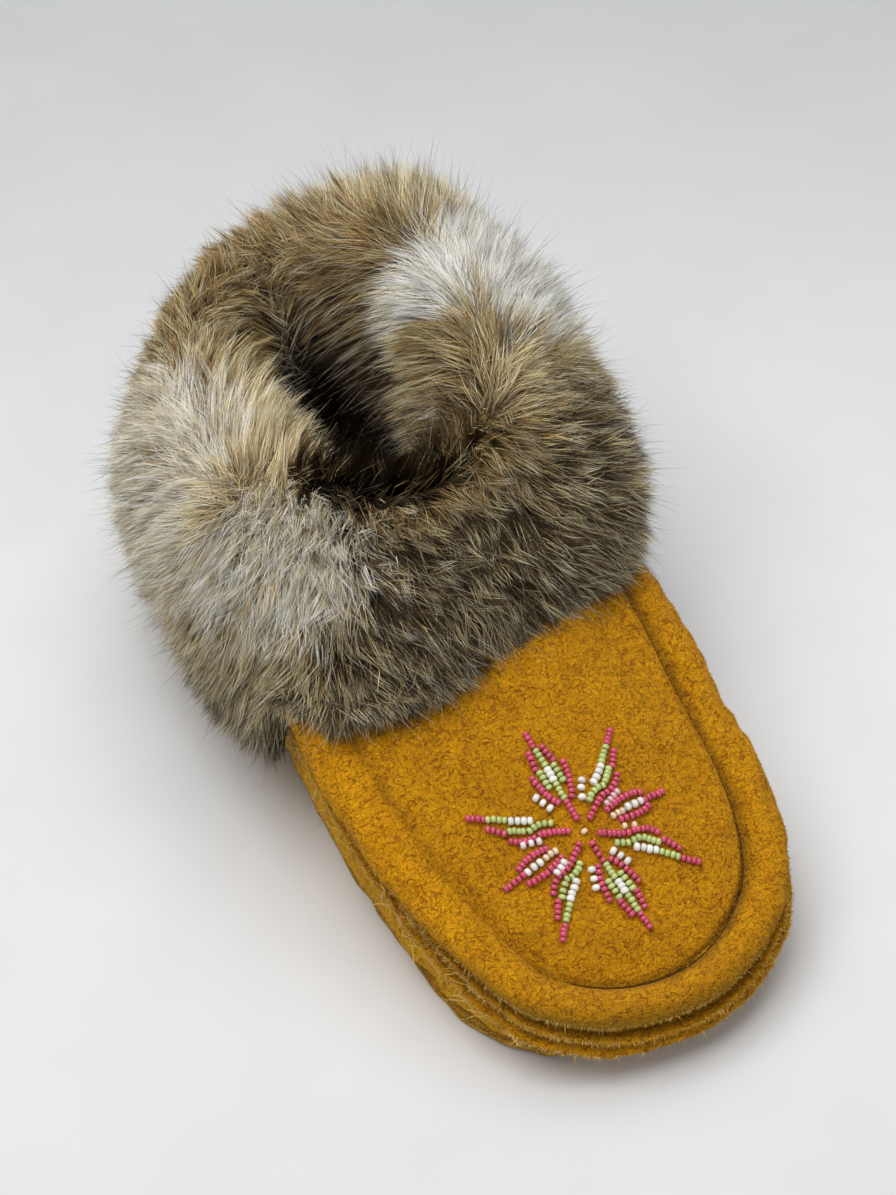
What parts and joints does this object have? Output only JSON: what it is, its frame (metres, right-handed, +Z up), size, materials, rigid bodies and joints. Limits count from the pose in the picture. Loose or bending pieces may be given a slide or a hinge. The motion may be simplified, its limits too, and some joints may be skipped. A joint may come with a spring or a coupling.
{
  "type": "beaded moccasin",
  "caption": "Soft suede moccasin slipper for the right foot, with a stuffed roll round its vamp, a beaded star and a wide folded fur cuff round the foot opening.",
  "frame": {"origin": "on the floor under the middle of the shoe's box", "axes": "+X from heel to toe, +Y to the big-toe side (the wearer's left), +Z up"},
  "size_m": [0.2738, 0.1556, 0.117],
  "materials": {
    "suede": "napped ochre suede, matt",
    "sole_suede": "pale raw-edged suede, matt",
    "fleece": "grey-brown fleece",
    "fur": "deep grey-brown fur with light tips",
    "pink_beads": "opaque glossy glass",
    "white_beads": "opaque glossy glass"
  },
  "bodies": {
    "root": {"outsole": "sole_suede", "insole": "fleece", "upper": "suede", "vamp": "suede", "vamp_roll": "suede", "seam_welt": "suede", "fur_cuff": "fur", "petal_1": "pink_beads", "petal_2": "pink_beads", "petal_3": "pink_beads", "petal_4": "pink_beads", "petal_5": "pink_beads", "petal_6": "pink_beads", "petal_7": "pink_beads", "petal_8": "pink_beads", "bead_bar_1": "white_beads", "bead_bar_2": "white_beads", "bead_bar_3": "white_beads", "bead_bar_4": "white_beads", "bead_bar_5": "white_beads", "bead_bar_6": "white_beads", "bead_bar_7": "white_beads", "bead_bar_8": "white_beads", "centre_bead": "white_beads"}
  },
  "joints": []
}
